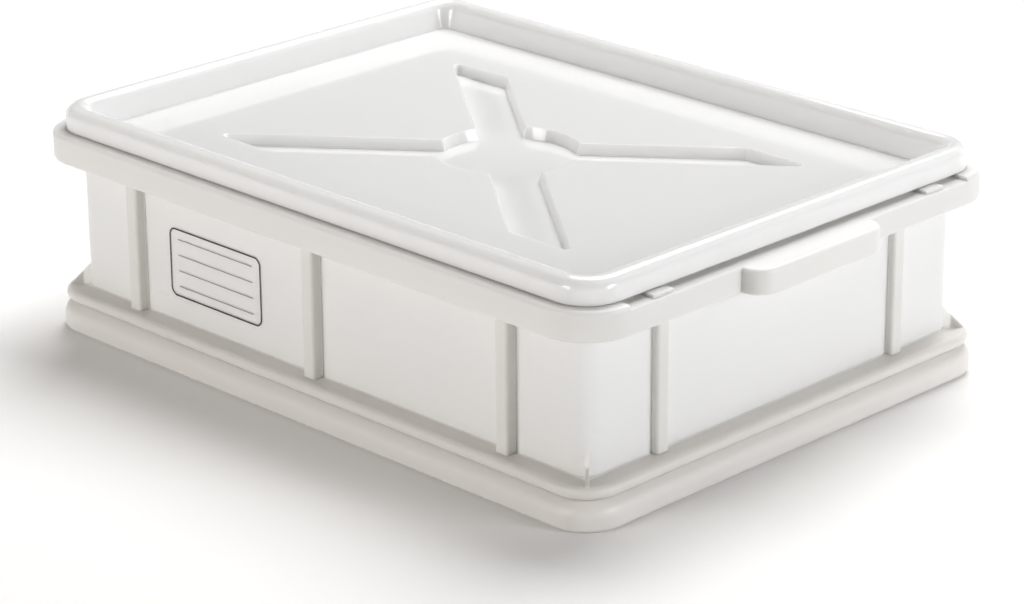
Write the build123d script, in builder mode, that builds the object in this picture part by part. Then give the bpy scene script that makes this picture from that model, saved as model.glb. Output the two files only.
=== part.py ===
"""Stacking dough proofing box with a drop-on lid and a write-on label.

The origin is the centre of the footprint at the surface that the box stands on. X runs along
the length, Y along the width and Z up. All sizes are in millimetres. Every inset is measured
inwards from the outline of the collar, which is the rectangle of box_length by box_width.
"""

from build123d import *
from math import atan2, degrees, radians, sqrt, tan
import os

# Overall sizes of the box
box_length = 400.0
box_width = 300.0
box_height = 120.0

# Collar, the turned-down flange round the mouth
collar_corner_radius = 27.0
collar_height = 15.0
collar_skin = 2.2
collar_top_round = 2.1
collar_low_round = 1.2
ledge_drop = 10.0
ledge_skin = 2.2

# Reliefs, the lowered stretches of the ledge on the two short sides, and the pads left on them
relief_depth = 2.0
relief_margin = 1.0
pad_length = 13.0
pad_spacing = 197.0
pad_setback = 1.8
pad_gap = 0.2

# Hand grips, the bowed-out stretches of the collar on the two short sides
grip_reach = 12.0
grip_width = 94.0
grip_corner_radius = 11.9

# Upstand, the lip above the collar that enters the lid's rim
upstand_inset = 11.4
upstand_corner_radius = 15.6
upstand_thickness = 2.4
upstand_edge_round = 1.0

# Walls and floor
wall_inset = 16.5
wall_corner_radius = 9.0
wall_thickness = 2.3
floor_level = 15.5
floor_edge_round = 6.0

# Mouth, where the walls step outwards to make room for the lid's sunken part
mouth_inset = 16.4
mouth_corner_radius = 10.0
mouth_depth = 7.5
mouth_skin = 2.3

# Shelf bead, the upper of the two rounded rings round the base
shelf_inset = 4.0
shelf_corner_radius = 20.0
shelf_low = 15.5
shelf_high = 22.8
shelf_top_round = 3.0
shelf_under_round = 4.2

# Foot bead, the lower ring, hollow below so that it sits over the lid of the box underneath
foot_inset = 2.5
foot_corner_radius = 21.5
foot_top_round = 7.6
foot_bottom_round = 3.2
stacking_gap = 0.3
socket_depth = 12.3
socket_edge_round = 5.0

# Upright ribs on the walls
rib_width = 8.0
rib_round = 1.6
rib_seat = 1.0
side_rib_spacing = 134.0
side_rib_depth = 6.5
end_rib_spacing = 172.0
end_rib_depth = 4.2

# Corner gussets, thin webs that stand on the shelf bead and point outwards along the diagonals
gusset_thickness = 1.8
gusset_reach = 11.6
gusset_high = 34.3
gusset_low = 22.3
gusset_seat = 3.5
gusset_bite = 1.5

# Lid
lid_gap = 0.3
lid_skin = 2.2
rim_inset = 7.0
rim_corner_radius = 20.0
rim_edge_round = 5.6
recess_inset = 17.6
recess_corner_radius = 9.4
recess_depth = 14.9
recess_wall_angle = 13.5
recess_low_round = 1.2

# Stiffening cross pressed down into the lid's floor
cross_depth = 6.0
cross_wall_angle = 18.0
cross_wall_skin = 1.3
cross_reach_x = 108.0
cross_reach_y = 86.5
cross_arm_width_x = 43.0
cross_disc_radius = 38.0
cross_tip_round = 3.0

# Write-on label on the long front wall
label_length = 71.0
label_height = 38.0
label_corner_radius = 5.0
label_thickness = 0.3
label_centre_x = -76.0
label_centre_z = 54.7

# Overrun of every cut
overrun = 5.0

# Levels, insets and reaches worked out from the sizes above
ledge_level = box_height - ledge_drop
relief_level = ledge_level - relief_depth
ledge_under = relief_level - ledge_skin
collar_low = ledge_level - collar_height
mouth_level = ledge_level - mouth_depth
relief_width = box_width - 2 * collar_corner_radius - 2 * relief_margin
socket_inset = rim_inset - stacking_gap
socket_corner_radius = rim_corner_radius + stacking_gap
side_face = box_width / 2 - wall_inset
end_face = box_length / 2 - wall_inset
corner_share = 1 - sqrt(0.5)
corner_setback = wall_inset + corner_share * wall_corner_radius
lid_under = box_height + lid_gap
lid_top = lid_under + lid_skin
rim_low = ledge_level + lid_gap
recess_level = lid_top - recess_depth
recess_under = recess_level - lid_skin
recess_slope = tan(radians(recess_wall_angle))
drop_inset = recess_inset + lid_skin * recess_slope - lid_skin
drop_corner_radius = recess_corner_radius + recess_inset - drop_inset

os.makedirs("parts", exist_ok=True)


def plan(inset, radius):
    """Draw the plan rectangle at this inset, with round corners."""
    RectangleRounded(box_length - 2 * inset, box_width - 2 * inset, radius)


def slab(inset, radius, low, high, top_round=0.0, bottom_round=0.0):
    """Make a plate of the plan's shape between two levels, with rounded rims."""
    with BuildPart() as form:
        with BuildSketch(Plane.XY.offset(low)):
            plan(inset, radius)
        extrude(amount=high - low)
        if top_round > 0:
            fillet(form.faces().sort_by(Axis.Z)[-1].edges(), top_round)
        if bottom_round > 0:
            fillet(form.faces().sort_by(Axis.Z)[0].edges(), bottom_round)
    return form.part


def upright_rib(depth):
    """Make one rib that stands out along -Y from the plane Y = 0 and bites into the wall behind."""
    bite = wall_thickness / 2
    with BuildPart() as form:
        with BuildSketch(Plane.XY.offset(shelf_high - rib_seat)):
            with Locations((0, (bite - depth) / 2)):
                Rectangle(rib_width, depth + bite)
        extrude(amount=ledge_under - shelf_high + 2 * rib_seat)
        front = form.faces().sort_by(Axis.Y)[0]
        fillet(front.edges().filter_by(Axis.Z), rib_round)
    return form.part


# The turned-down collar at the level of the reliefs, with its two hand grips, still solid
with BuildPart() as collar_form:
    with BuildSketch(Plane.XY.offset(collar_low)):
        plan(0, collar_corner_radius)
        RectangleRounded(box_length + 2 * grip_reach, grip_width, grip_corner_radius)
    extrude(amount=relief_level - collar_low)
    fillet(collar_form.faces().sort_by(Axis.Z)[-1].edges(), collar_top_round)
    fillet(collar_form.faces().sort_by(Axis.Z)[0].edges(), collar_low_round)

# The full ledge, cut down to the relief level along the two short sides
with BuildPart() as ledge_form:
    add(slab(0, collar_corner_radius, ledge_under, ledge_level, top_round=collar_top_round))
    with BuildSketch(Plane.XY.offset(relief_level)):
        relief_centre = (box_length - upstand_inset + overrun) / 2
        with Locations((relief_centre, 0), (-relief_centre, 0)):
            Rectangle(upstand_inset + overrun, relief_width)
    extrude(amount=relief_depth + overrun, mode=Mode.SUBTRACT)

shelf_form = slab(
    shelf_inset, shelf_corner_radius, shelf_low, shelf_high, shelf_top_round, shelf_under_round
)
foot_form = slab(foot_inset, foot_corner_radius, 0, shelf_low, foot_top_round, foot_bottom_round)
inner_form = slab(
    wall_inset + wall_thickness,
    wall_corner_radius - wall_thickness,
    floor_level,
    box_height + overrun,
    bottom_round=floor_edge_round,
)
socket_form = slab(
    socket_inset, socket_corner_radius, -overrun, socket_depth, top_round=socket_edge_round
)
side_rib = upright_rib(side_rib_depth)
end_rib = upright_rib(end_rib_depth)

# One corner gusset, drawn as it stands out along +X from the wall's rounded corner at X = 0
with BuildPart() as gusset:
    with BuildSketch(Plane.XZ) as gusset_side:
        Polygon(
            (-gusset_bite, shelf_high - gusset_seat),
            (gusset_reach, shelf_high - gusset_seat),
            (gusset_reach, gusset_low),
            (0, gusset_high),
            (-gusset_bite, gusset_high),
            align=None,
        )
    extrude(amount=gusset_thickness / 2, both=True)

# The box itself, one moulding
with BuildPart() as container:
    add(foot_form)
    add(shelf_form)
    with BuildSketch(Plane.XY.offset(shelf_low)):
        plan(wall_inset, wall_corner_radius)
    extrude(amount=ledge_under - shelf_low)
    add(collar_form.part)
    add(ledge_form.part)

    # Hollow below the collar and the grips
    with BuildSketch(Plane.XY.offset(collar_low - overrun)):
        plan(collar_skin, collar_corner_radius - collar_skin)
        RectangleRounded(
            box_length + 2 * grip_reach - 2 * collar_skin,
            grip_width - 2 * collar_skin,
            grip_corner_radius - collar_skin,
        )
        with BuildSketch(mode=Mode.SUBTRACT):
            plan(wall_inset, wall_corner_radius)
    extrude(amount=ledge_under - collar_low + overrun, mode=Mode.SUBTRACT)

    # The wall's outward step below the ledge, then the upstand round the mouth
    with BuildSketch(Plane.XY.offset(mouth_level - mouth_skin)):
        plan(mouth_inset - mouth_skin, mouth_corner_radius + mouth_skin)
    extrude(amount=ledge_under - mouth_level + mouth_skin)
    with BuildSketch(Plane.XY.offset(ledge_under)):
        plan(upstand_inset, upstand_corner_radius)
    extrude(amount=box_height - ledge_under)

    # Pads left standing on the reliefs, close below the lid's rim
    with BuildSketch(Plane.XY.offset(ledge_under)):
        pad_reach = upstand_inset + upstand_thickness / 2 - pad_setback
        pad_centre = box_length / 2 - pad_setback - pad_reach / 2
        with GridLocations(2 * pad_centre, pad_spacing, 2, 2):
            Rectangle(pad_reach, pad_length)
    extrude(amount=ledge_level - pad_gap - ledge_under)

    # Ribs on the long walls, then on the short ones
    for step in (-1, 0, 1):
        with Locations(Location((step * side_rib_spacing, -side_face, 0), (0, 0, 0))):
            add(side_rib)
        with Locations(Location((step * side_rib_spacing, side_face, 0), (0, 0, 180))):
            add(side_rib)
    for step in (-1, 1):
        with Locations(Location((end_face, step * end_rib_spacing / 2, 0), (0, 0, 90))):
            add(end_rib)
        with Locations(Location((-end_face, step * end_rib_spacing / 2, 0), (0, 0, -90))):
            add(end_rib)

    # Gussets at the four corners
    for turn_x in (-1, 1):
        for turn_y in (-1, 1):
            corner_x = turn_x * (box_length / 2 - corner_setback)
            corner_y = turn_y * (box_width / 2 - corner_setback)
            with Locations(Location((corner_x, corner_y, 0), (0, 0, degrees(atan2(turn_y, turn_x))))):
                add(gusset.part)

    # Inside of the box, the wider mouth, the ring inside the upstand and the socket in the foot
    add(inner_form, mode=Mode.SUBTRACT)
    with BuildSketch(Plane.XY.offset(mouth_level)):
        plan(mouth_inset, mouth_corner_radius)
    extrude(amount=box_height - mouth_level + overrun, mode=Mode.SUBTRACT)
    with BuildSketch(Plane.XY.offset(ledge_level)):
        plan(upstand_inset + upstand_thickness, upstand_corner_radius - upstand_thickness)
    extrude(amount=ledge_drop + overrun, mode=Mode.SUBTRACT)
    add(socket_form, mode=Mode.SUBTRACT)

    # Softened top of the upstand
    fillet(container.faces().sort_by(Axis.Z)[-1].edges(), upstand_edge_round)

container.part.label = "container"
export_step(container.part, "parts/container.step")

# One arm of the cross, cut off parallel to the long sides
with BuildSketch(Plane.XY) as cross_arm:
    half_end = cross_arm_width_x / 2
    Polygon(
        (-cross_reach_x - half_end, -cross_reach_y),
        (-cross_reach_x + half_end, -cross_reach_y),
        (cross_reach_x + half_end, cross_reach_y),
        (cross_reach_x - half_end, cross_reach_y),
        align=None,
    )
    fillet(cross_arm.vertices(), cross_tip_round)

# The whole cross with the disc in its middle
with BuildSketch(Plane.XY) as cross_plan:
    add(cross_arm.sketch)
    add(cross_arm.sketch.mirror(Plane.YZ))
    Circle(cross_disc_radius)

# The sunken body of the lid that drops into the mouth of the box
with BuildPart() as drop_form:
    with BuildSketch(Plane.XY.offset(lid_under)):
        plan(drop_inset, drop_corner_radius)
    extrude(amount=recess_under - lid_under, taper=recess_wall_angle)
    fillet(drop_form.faces().sort_by(Axis.Z)[0].edges(), recess_low_round)

# The groove under the lid's rim, wide enough for the upstand
channel_form = slab(
    rim_inset + lid_skin,
    rim_corner_radius - lid_skin,
    rim_low - overrun,
    lid_under,
    top_round=rim_edge_round - lid_skin,
)

with BuildPart() as lid:
    add(slab(rim_inset, rim_corner_radius, rim_low, lid_top, top_round=rim_edge_round))
    add(channel_form, mode=Mode.SUBTRACT)
    add(drop_form.part)

    # Boss under the cross, then the recess and the cross cut into its floor
    with BuildSketch(Plane.XY.offset(recess_under)):
        add(cross_plan.sketch)
        offset(amount=cross_wall_skin, kind=Kind.INTERSECTION)
    extrude(amount=-cross_depth, taper=cross_wall_angle)
    with BuildSketch(Plane.XY.offset(lid_top)):
        plan(recess_inset, recess_corner_radius)
    extrude(amount=-recess_depth, taper=recess_wall_angle, mode=Mode.SUBTRACT)
    with BuildSketch(Plane.XY.offset(recess_level)):
        add(cross_plan.sketch)
    extrude(amount=-cross_depth, taper=cross_wall_angle, mode=Mode.SUBTRACT)

    # Round shoulder on the inner side of the rim
    crown = lid.faces().filter_by(Axis.Z).sort_by(Axis.Z)[-1]
    fillet(crown.inner_wires()[0].edges(), rim_edge_round)

lid.part.label = "lid"
export_step(lid.part, "parts/lid.step")

# Film label stuck to the front wall between two ribs
with BuildPart() as write_on_label:
    with BuildSketch(Plane.XZ.offset(side_face)):
        with Locations((label_centre_x, label_centre_z)):
            RectangleRounded(label_length, label_height, label_corner_radius)
    extrude(amount=label_thickness)

write_on_label.part.label = "write_on_label"
export_step(write_on_label.part, "parts/write_on_label.step")
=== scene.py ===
"""A lidded dough proofing box of white polypropylene, standing on a white studio floor."""

import math

import bpy
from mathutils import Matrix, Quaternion, Vector


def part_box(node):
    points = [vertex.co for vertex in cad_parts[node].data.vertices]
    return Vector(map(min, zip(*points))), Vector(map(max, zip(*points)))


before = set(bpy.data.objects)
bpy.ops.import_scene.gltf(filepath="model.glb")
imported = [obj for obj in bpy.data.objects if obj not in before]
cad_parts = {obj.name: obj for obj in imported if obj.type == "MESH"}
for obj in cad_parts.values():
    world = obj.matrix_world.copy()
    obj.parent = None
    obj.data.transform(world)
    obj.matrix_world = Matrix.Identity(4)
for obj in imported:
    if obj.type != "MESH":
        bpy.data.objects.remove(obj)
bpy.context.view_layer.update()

MM = 0.001

# The camera stands off the corner between the labelled side and the right-hand grip
VIEW_TARGET_MM = (66.7, -64.6, 60.0)
VIEW_AZIMUTH = 45.0
VIEW_ELEVATION = 21.13
VIEW_ROLL = -0.37
VIEW_DISTANCE_MM = 1706.4
LENS_MM = 122.3
SENSOR_MM = 36.0
VIEW_REACH_MM = 50000

# Soft boxes: azimuth from +X and elevation in degrees, side in mm, power in watts, colour
LIGHTS = {
    "high_behind": (112, 60, 1300, 36.0, "#FFFFFF"),
    "low_right": (14, 12, 700, 15.0, "#FFFFFF"),
    "low_front": (264, 12, 700, 14.0, "#FFFBF6"),
}
LIGHT_DISTANCE_MM = 1800
LIGHT_TARGET_MM = (0.0, 0.0, 60.0)

# Near the box the floor is paint in the lamps' light.
# Beyond that, the floor and its far wall show plain white
ROOM_COLOUR = "#FFFFFF"
ROOM_STRENGTH = 0.10
FLOOR_BOUNCE = "#E2E2E2"
FLOOR_SEEN = (1.01, 1.00, 0.99, 1.0)
SHADOW_WITHIN_MM = 450
WHITE_BEYOND_MM = 900
FLOOR_RADIUS_MM = 5000
FLOOR_SEGMENTS = 96
FAR_WALL_MM = 900
PLAIN_WHITE = "#FFFFFF"

# Real sizes behind the patterns of moulded plastic: flow marks, sink ripples and the mould's grain.
# Real grain is about 0.1 mm, too fine to show, so it is drawn coarser here
FLOW_MARK_MM = 90.0
FLOW_DETAIL = 2.0
RIPPLE_MM = 38.0
RIPPLE_DEPTH_MM = 0.02
RIPPLE_DETAIL = 1.0
GRAIN_MM = 1.6
GRAIN_DETAIL = 2.0
EDGE_SOFTNESS_MM = 0.8
EDGE_SAMPLES = 4
POLYPROPYLENE_IOR = 1.49
GLOSS_SPREAD = 0.1

# The walls' outer faces, and the painted shade on the heavier plastic outside them, from the foot
# upwards
WALL_PLANE_MM = (183.5, 133.5)
RELIEF_FROM_MM = 0.4
RELIEF_TO_MM = 1.6
TONE_BLEND_MM = 1.0
SHELF_FROM_MM = 14.5
RIBS_FROM_MM = 22.6
WEB_FROM_MM = -4.0
COLLAR_FROM_MM = 93.0
# Painted shade: the foot, shelf, ribs and collar are drawn greyer than the walls, and the corner web
# darker still, in place of light that only the thin walls let through
FOOT_PAINTED_SHADE = "#EAE7E4"
SHELF_PAINTED_SHADE = "#E2DFDB"
RIB_PAINTED_SHADE = "#E5E4E1"
WEB_PAINTED_SHADE = "#C9C7C3"
COLLAR_PAINTED_SHADE = "#E7E6E4"

# The lid's skins, told apart by how far they face up or down, and the painted shade on the level ones
UPRIGHT_UP_TO = 0.45
LEVEL_FROM = 0.85
LEVEL_PAINTED_SHADE = "#EFEFEE"

# The label's print, in millimetres
LABEL_CORNER_MM = 5.0
FRAME_MARGIN_MM = 0.5
FRAME_LINE_MM = 0.8
RULE_SPACING_MM = 8.5
RULE_LINE_MM = 0.45
RULE_MARGIN_MM = 7.0
INK_MOTTLE_MM = 3.0
INK_ROUGHNESS = 0.35
INK = "#232221"
FADED_INK = "#2F2E2C"
RULE_INK = "#9C9A97"


def linear(hex_colour):
    """Turn an sRGB hex colour into linear red, green, blue and alpha."""
    parts = [int(hex_colour[i:i + 2], 16) / 255 for i in (1, 3, 5)]
    light = [c / 12.92 if c <= 0.04045 else ((c + 0.055) / 1.055) ** 2.4 for c in parts]
    return (*light, 1.0)


def add_node(tree, kind, inputs=None, **settings):
    """Add a node of this kind, with its settings, and fill or link its inputs."""
    node = tree.nodes.new(kind)
    for name, value in settings.items():
        setattr(node, name, value)
    for name, value in (inputs or {}).items():
        if isinstance(value, bpy.types.NodeSocket):
            tree.links.new(value, node.inputs[name])
        else:
            node.inputs[name].default_value = value
    return node


def new_material(name):
    """Start a material with an empty node tree and an output, and give both back."""
    material = bpy.data.materials.new(name)
    material.use_nodes = True
    material.node_tree.nodes.clear()
    output = material.node_tree.nodes.new("ShaderNodeOutputMaterial")
    return material, material.node_tree, output


def per_mm(spacing_mm):
    """Give the texture scale whose features are this far apart."""
    return 1.0 / (spacing_mm * MM)


def clothe(node_name, material):
    """Give every face of a CAD node this material."""
    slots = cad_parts[node_name].data.materials
    slots.clear()
    slots.append(material)


def paint_shade_on_heavy_parts(tree, place, thin_tint):
    """Paint shade on the heavy rings, ribs, corner web and collar, as thick plastic lets less light
    through than the walls.

    The tone goes by the place on the box, and stands in for light that the renderer doesn't carry
    through the closed walls.
    """
    folded = add_node(tree, "ShaderNodeVectorMath", {0: place}, operation="ABSOLUTE")
    beyond = add_node(tree, "ShaderNodeVectorMath", {
        0: folded.outputs[0], 1: (WALL_PLANE_MM[0] * MM, WALL_PLANE_MM[1] * MM, 0.0),
    }, operation="SUBTRACT")
    parts = add_node(tree, "ShaderNodeSeparateXYZ", {0: beyond.outputs[0]})
    outside = add_node(tree, "ShaderNodeMath", {
        0: parts.outputs["X"], 1: parts.outputs["Y"],
    }, operation="MAXIMUM")
    at_corner = add_node(tree, "ShaderNodeMath", {
        0: parts.outputs["X"], 1: parts.outputs["Y"],
    }, operation="MINIMUM")

    web_shade_mask = add_node(tree, "ShaderNodeMapRange", {
        "Value": at_corner.outputs[0],
        "From Min": WEB_FROM_MM * MM, "From Max": (WEB_FROM_MM + TONE_BLEND_MM) * MM,
    }, interpolation_type="SMOOTHSTEP")
    upright = add_node(tree, "ShaderNodeMix", {
        "Factor": web_shade_mask.outputs["Result"], "A": linear(RIB_PAINTED_SHADE), "B": linear(WEB_PAINTED_SHADE),
    }, data_type="RGBA")
    tone = linear(FOOT_PAINTED_SHADE)
    for from_mm, tint in (
        (SHELF_FROM_MM, linear(SHELF_PAINTED_SHADE)),
        (RIBS_FROM_MM, upright.outputs[2]),
        (COLLAR_FROM_MM, linear(COLLAR_PAINTED_SHADE)),
    ):
        shaded_above = add_node(tree, "ShaderNodeMapRange", {
            "Value": parts.outputs["Z"],
            "From Min": from_mm * MM, "From Max": (from_mm + TONE_BLEND_MM) * MM,
        }, interpolation_type="SMOOTHSTEP")
        tone = add_node(tree, "ShaderNodeMix", {
            "Factor": shaded_above.outputs["Result"], "A": tone, "B": tint,
        }, data_type="RGBA").outputs[2]
    shade_outside_walls = add_node(tree, "ShaderNodeMapRange", {
        "Value": outside.outputs[0],
        "From Min": RELIEF_FROM_MM * MM, "From Max": RELIEF_TO_MM * MM,
    }, interpolation_type="SMOOTHSTEP")
    # Painted shade only outside the wall planes; the thin walls keep their own tint
    return add_node(tree, "ShaderNodeMix", {
        "Factor": shade_outside_walls.outputs["Result"], "A": thin_tint, "B": tone,
    }, data_type="RGBA").outputs[2]


def paint_shade_on_level_skins(tree, place, upright_tint):
    """Paint a little shade on the level skins, as the upright ones have light coming through them too.
    """
    facing = place.node.outputs["Normal"]
    folded = add_node(tree, "ShaderNodeVectorMath", {0: facing}, operation="ABSOLUTE")
    parts = add_node(tree, "ShaderNodeSeparateXYZ", {0: folded.outputs[0]})
    level = add_node(tree, "ShaderNodeMapRange", {
        "Value": parts.outputs["Z"], "From Min": UPRIGHT_UP_TO, "From Max": LEVEL_FROM,
    }, interpolation_type="SMOOTHSTEP")
    return add_node(tree, "ShaderNodeMix", {
        "Factor": level.outputs["Result"], "A": upright_tint, "B": linear(LEVEL_PAINTED_SHADE),
    }, data_type="RGBA").outputs[2]


def natural_polypropylene(name, clear_hex, milky_hex, roughness, grain_depth_mm, light_reach_mm, tone):
    """Natural polypropylene, injection moulded: milky, waxy, faintly uneven from the melt's flow, with
    painted shade added to its colour by the tone function.
    """
    material, tree, output = new_material(name)
    place = add_node(tree, "ShaderNodeTexCoord").outputs["Object"]
    flow = add_node(tree, "ShaderNodeTexNoise", {
        "Vector": place, "Scale": per_mm(FLOW_MARK_MM), "Detail": FLOW_DETAIL,
    })
    tint = add_node(tree, "ShaderNodeMix", {
        "Factor": flow.outputs["Fac"], "A": linear(clear_hex), "B": linear(milky_hex),
    }, data_type="RGBA").outputs[2]
    gloss = add_node(tree, "ShaderNodeMapRange", {
        "Value": flow.outputs["Fac"],
        "To Min": roughness * (1 - GLOSS_SPREAD), "To Max": roughness * (1 + GLOSS_SPREAD),
    })
    waves = add_node(tree, "ShaderNodeTexNoise", {
        "Vector": place, "Scale": per_mm(RIPPLE_MM), "Detail": RIPPLE_DETAIL,
    })
    fine = add_node(tree, "ShaderNodeTexNoise", {
        "Vector": place, "Scale": per_mm(GRAIN_MM), "Detail": GRAIN_DETAIL,
    })
    softened = add_node(tree, "ShaderNodeBevel", {
        "Radius": EDGE_SOFTNESS_MM * MM,
    }, samples=EDGE_SAMPLES)
    rippled = add_node(tree, "ShaderNodeBump", {
        "Height": waves.outputs["Fac"], "Distance": RIPPLE_DEPTH_MM * MM, "Strength": 1.0,
        "Normal": softened.outputs["Normal"],
    })
    grained = add_node(tree, "ShaderNodeBump", {
        "Height": fine.outputs["Fac"], "Distance": grain_depth_mm * MM, "Strength": 1.0,
        "Normal": rippled.outputs["Normal"],
    })
    # The base colour is the flow tint with painted shade laid on by tone
    shader = add_node(tree, "ShaderNodeBsdfPrincipled", {
        "Base Color": tone(tree, place, tint),
        "Roughness": gloss.outputs["Result"],
        "IOR": POLYPROPYLENE_IOR,
        "Subsurface Weight": 1.0,
        "Subsurface Radius": (1.0, 1.0, 1.0),
        "Subsurface Scale": light_reach_mm * MM,
        "Normal": grained.outputs["Normal"],
    })
    tree.links.new(shader.outputs["BSDF"], output.inputs["Surface"])
    return material


def printed_clear_film():
    """Clear polypropylene film: the wall shows through, but for the printed frame and grey rules."""
    material, tree, output = new_material("printed_clear_polypropylene_film")
    place = add_node(tree, "ShaderNodeTexCoord").outputs["Object"]
    low, high = (Vector(corner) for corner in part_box("write_on_label"))
    half = (high - low) / 2
    corner = LABEL_CORNER_MM * MM
    frame_at = corner - (FRAME_MARGIN_MM + FRAME_LINE_MM / 2) * MM

    flat = add_node(tree, "ShaderNodeVectorMath", {
        0: place, 1: (low + high) / 2,
    }, operation="SUBTRACT")
    folded = add_node(tree, "ShaderNodeVectorMath", {0: flat.outputs[0]}, operation="ABSOLUTE")
    beyond = add_node(tree, "ShaderNodeVectorMath", {
        0: folded.outputs[0], 1: (half.x - corner, half.y, half.z - corner),
    }, operation="SUBTRACT")
    outside = add_node(tree, "ShaderNodeVectorMath", {
        0: beyond.outputs[0], 1: (0.0, 0.0, 0.0),
    }, operation="MAXIMUM")
    reach = add_node(tree, "ShaderNodeVectorMath", {0: outside.outputs[0]}, operation="LENGTH")
    framed = add_node(tree, "ShaderNodeMath", {
        0: reach.outputs["Value"], 1: frame_at, 2: FRAME_LINE_MM * MM / 2,
    }, operation="COMPARE")

    centred = add_node(tree, "ShaderNodeSeparateXYZ", {0: flat.outputs[0]})
    spread = add_node(tree, "ShaderNodeSeparateXYZ", {0: folded.outputs[0]})
    spacing = RULE_SPACING_MM * MM
    nearest = add_node(tree, "ShaderNodeMath", {0: centred.outputs["Z"], 1: spacing}, operation="SNAP")
    shifted = add_node(tree, "ShaderNodeMath", {
        0: centred.outputs["Z"], 1: nearest.outputs[0],
    }, operation="SUBTRACT")
    on_rule = add_node(tree, "ShaderNodeMath", {
        0: shifted.outputs[0], 1: spacing / 2, 2: RULE_LINE_MM * MM / 2,
    }, operation="COMPARE")
    within_x = add_node(tree, "ShaderNodeMath", {
        0: spread.outputs["X"], 1: half.x - RULE_MARGIN_MM * MM,
    }, operation="LESS_THAN")
    within_z = add_node(tree, "ShaderNodeMath", {
        0: spread.outputs["Z"], 1: half.z - RULE_MARGIN_MM * MM / 2,
    }, operation="LESS_THAN")
    within = add_node(tree, "ShaderNodeMath", {
        0: within_x.outputs[0], 1: within_z.outputs[0],
    }, operation="MULTIPLY")
    ruled = add_node(tree, "ShaderNodeMath", {
        0: on_rule.outputs[0], 1: within.outputs[0],
    }, operation="MULTIPLY")

    inked = add_node(tree, "ShaderNodeMath", {
        0: ruled.outputs[0], 1: framed.outputs[0],
    }, operation="MAXIMUM")
    mottle = add_node(tree, "ShaderNodeTexNoise", {"Vector": place, "Scale": per_mm(INK_MOTTLE_MM)})
    frame_ink = add_node(tree, "ShaderNodeMix", {
        "Factor": mottle.outputs["Fac"], "A": linear(INK), "B": linear(FADED_INK),
    }, data_type="RGBA")
    ink_colour = add_node(tree, "ShaderNodeMix", {
        "Factor": framed.outputs[0], "A": linear(RULE_INK), "B": frame_ink.outputs[2],
    }, data_type="RGBA")
    ink = add_node(tree, "ShaderNodeBsdfPrincipled", {
        "Base Color": ink_colour.outputs[2], "Roughness": INK_ROUGHNESS, "IOR": POLYPROPYLENE_IOR,
    })
    clear = add_node(tree, "ShaderNodeBsdfTransparent")
    film = add_node(tree, "ShaderNodeMixShader", {
        "Fac": inked.outputs[0], 1: clear.outputs["BSDF"], 2: ink.outputs["BSDF"],
    })
    tree.links.new(film.outputs["Shader"], output.inputs["Surface"])
    return material


def studio_floor():
    """Matte white paint: no gloss, a soft shadow near the box, and even white to the eye further out."""
    material, tree, output = new_material("matte_white_paint")
    path = add_node(tree, "ShaderNodeLightPath")
    seen = add_node(tree, "ShaderNodeMath", {
        0: path.outputs["Is Camera Ray"], 1: path.outputs["Is Glossy Ray"],
    }, operation="MAXIMUM")
    shown = add_node(tree, "ShaderNodeMath", {
        0: seen.outputs[0], 1: path.outputs["Is Transmission Ray"],
    }, operation="MAXIMUM")
    tint = add_node(tree, "ShaderNodeMix", {
        "Factor": shown.outputs[0], "A": linear(FLOOR_BOUNCE), "B": FLOOR_SEEN,
    }, data_type="RGBA")
    paint = add_node(tree, "ShaderNodeBsdfDiffuse", {"Color": tint.outputs[2]})
    place = add_node(tree, "ShaderNodeTexCoord")
    distance = add_node(tree, "ShaderNodeVectorMath", {0: place.outputs["Object"]}, operation="LENGTH")
    far = add_node(tree, "ShaderNodeMapRange", {
        "Value": distance.outputs["Value"],
        "From Min": SHADOW_WITHIN_MM * MM, "From Max": WHITE_BEYOND_MM * MM,
    }, interpolation_type="SMOOTHSTEP")
    far_and_shown = add_node(tree, "ShaderNodeMath", {
        0: far.outputs["Result"], 1: shown.outputs[0],
    }, operation="MULTIPLY")
    white = add_node(tree, "ShaderNodeEmission", {"Color": linear(PLAIN_WHITE), "Strength": 1.0})
    ground = add_node(tree, "ShaderNodeMixShader", {
        "Fac": far_and_shown.outputs[0], 1: paint.outputs["BSDF"], 2: white.outputs["Emission"],
    })
    tree.links.new(ground.outputs["Shader"], output.inputs["Surface"])
    return material


def make_floor():
    """Lay a round studio floor under the box, with a low wall of the same white round its far edge."""
    turns = [math.tau * k / FLOOR_SEGMENTS for k in range(FLOOR_SEGMENTS)]
    edge = [
        (math.cos(turn) * FLOOR_RADIUS_MM * MM, math.sin(turn) * FLOOR_RADIUS_MM * MM)
        for turn in turns
    ]
    corners = [(x, y, 0.0) for x, y in edge] + [(x, y, FAR_WALL_MM * MM) for x, y in edge]
    after = [(k + 1) % FLOOR_SEGMENTS for k in range(FLOOR_SEGMENTS)]
    wall = [
        (k, after[k], FLOOR_SEGMENTS + after[k], FLOOR_SEGMENTS + k)
        for k in range(FLOOR_SEGMENTS)
    ]
    mesh = bpy.data.meshes.new("studio_floor")
    mesh.from_pydata(corners, [], [tuple(range(FLOOR_SEGMENTS)), *wall])
    floor = bpy.data.objects.new("studio_floor", mesh)
    floor.data.materials.append(studio_floor())
    bpy.context.scene.collection.objects.link(floor)


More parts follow.
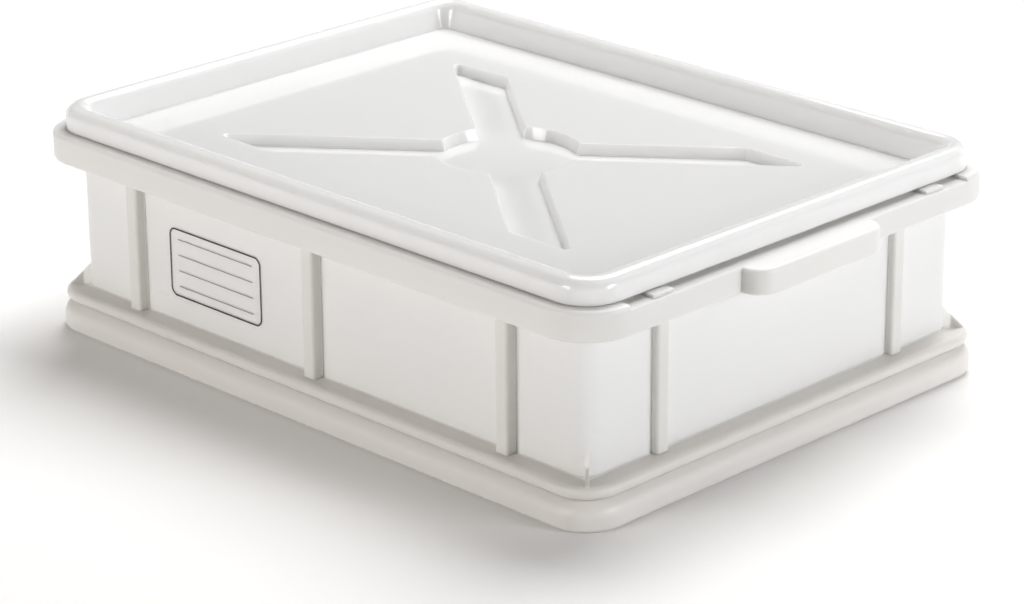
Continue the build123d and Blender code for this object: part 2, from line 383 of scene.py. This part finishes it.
def make_lights():
    """Hang the soft boxes and set the room's own faint light."""
    target = Vector(LIGHT_TARGET_MM) * MM
    for name, (azimuth, elevation, side, power, colour) in LIGHTS.items():
        across = math.cos(math.radians(elevation))
        towards = Vector((
            math.cos(math.radians(azimuth)) * across,
            math.sin(math.radians(azimuth)) * across,
            math.sin(math.radians(elevation)),
        ))
        lamp = bpy.data.lights.new(name, "AREA")
        lamp.shape = "SQUARE"
        lamp.size = side * MM
        lamp.energy = power
        lamp.color = linear(colour)[:3]
        holder = bpy.data.objects.new(name, lamp)
        holder.location = target + towards * LIGHT_DISTANCE_MM * MM
        holder.rotation_euler = towards.to_track_quat("Z", "Y").to_euler()
        bpy.context.scene.collection.objects.link(holder)
    world = bpy.data.worlds.new("studio_room")
    world.use_nodes = True
    room = world.node_tree.nodes["Background"]
    room.inputs["Color"].default_value = linear(ROOM_COLOUR)
    room.inputs["Strength"].default_value = ROOM_STRENGTH
    bpy.context.scene.world = world


def make_camera():
    """Set the camera at the photograph's viewing angle."""
    azimuth = math.radians(VIEW_AZIMUTH)
    elevation = math.radians(VIEW_ELEVATION)
    back = Vector((
        math.sin(azimuth) * math.cos(elevation),
        -math.cos(azimuth) * math.cos(elevation),
        math.sin(elevation),
    ))
    roll = Quaternion((0.0, 0.0, 1.0), math.radians(VIEW_ROLL))
    lens = bpy.data.cameras.new("studio_camera")
    lens.sensor_width = SENSOR_MM
    lens.lens = LENS_MM
    lens.clip_end = VIEW_REACH_MM * MM
    camera = bpy.data.objects.new("studio_camera", lens)
    camera.location = Vector(VIEW_TARGET_MM) * MM + back * VIEW_DISTANCE_MM * MM
    camera.rotation_euler = (back.to_track_quat("Z", "Y") @ roll).to_euler()
    bpy.context.scene.collection.objects.link(camera)
    bpy.context.scene.camera = camera


# A satin mould face spreads the highlights, and the milky plastic lets a little light in
clothe("container", natural_polypropylene(
    "satin_moulded_polypropylene",
    clear_hex="#FBFAF7",
    milky_hex="#F7F6F2",
    roughness=0.40,
    grain_depth_mm=0.004,
    light_reach_mm=3.0,
    tone=paint_shade_on_heavy_parts,
))
# The lid's mould face is polished, so it holds clear reflections along its rounded rim
clothe("lid", natural_polypropylene(
    "polished_moulded_polypropylene",
    clear_hex="#FDFDFD",
    milky_hex="#FBFBFB",
    roughness=0.10,
    grain_depth_mm=0.001,
    light_reach_mm=2.0,
    tone=paint_shade_on_level_skins,
))
# Clear film shows only where it is printed
clothe("write_on_label", printed_clear_film())

make_floor()
make_lights()
make_camera()
bpy.context.scene.view_settings.view_transform = "Standard"
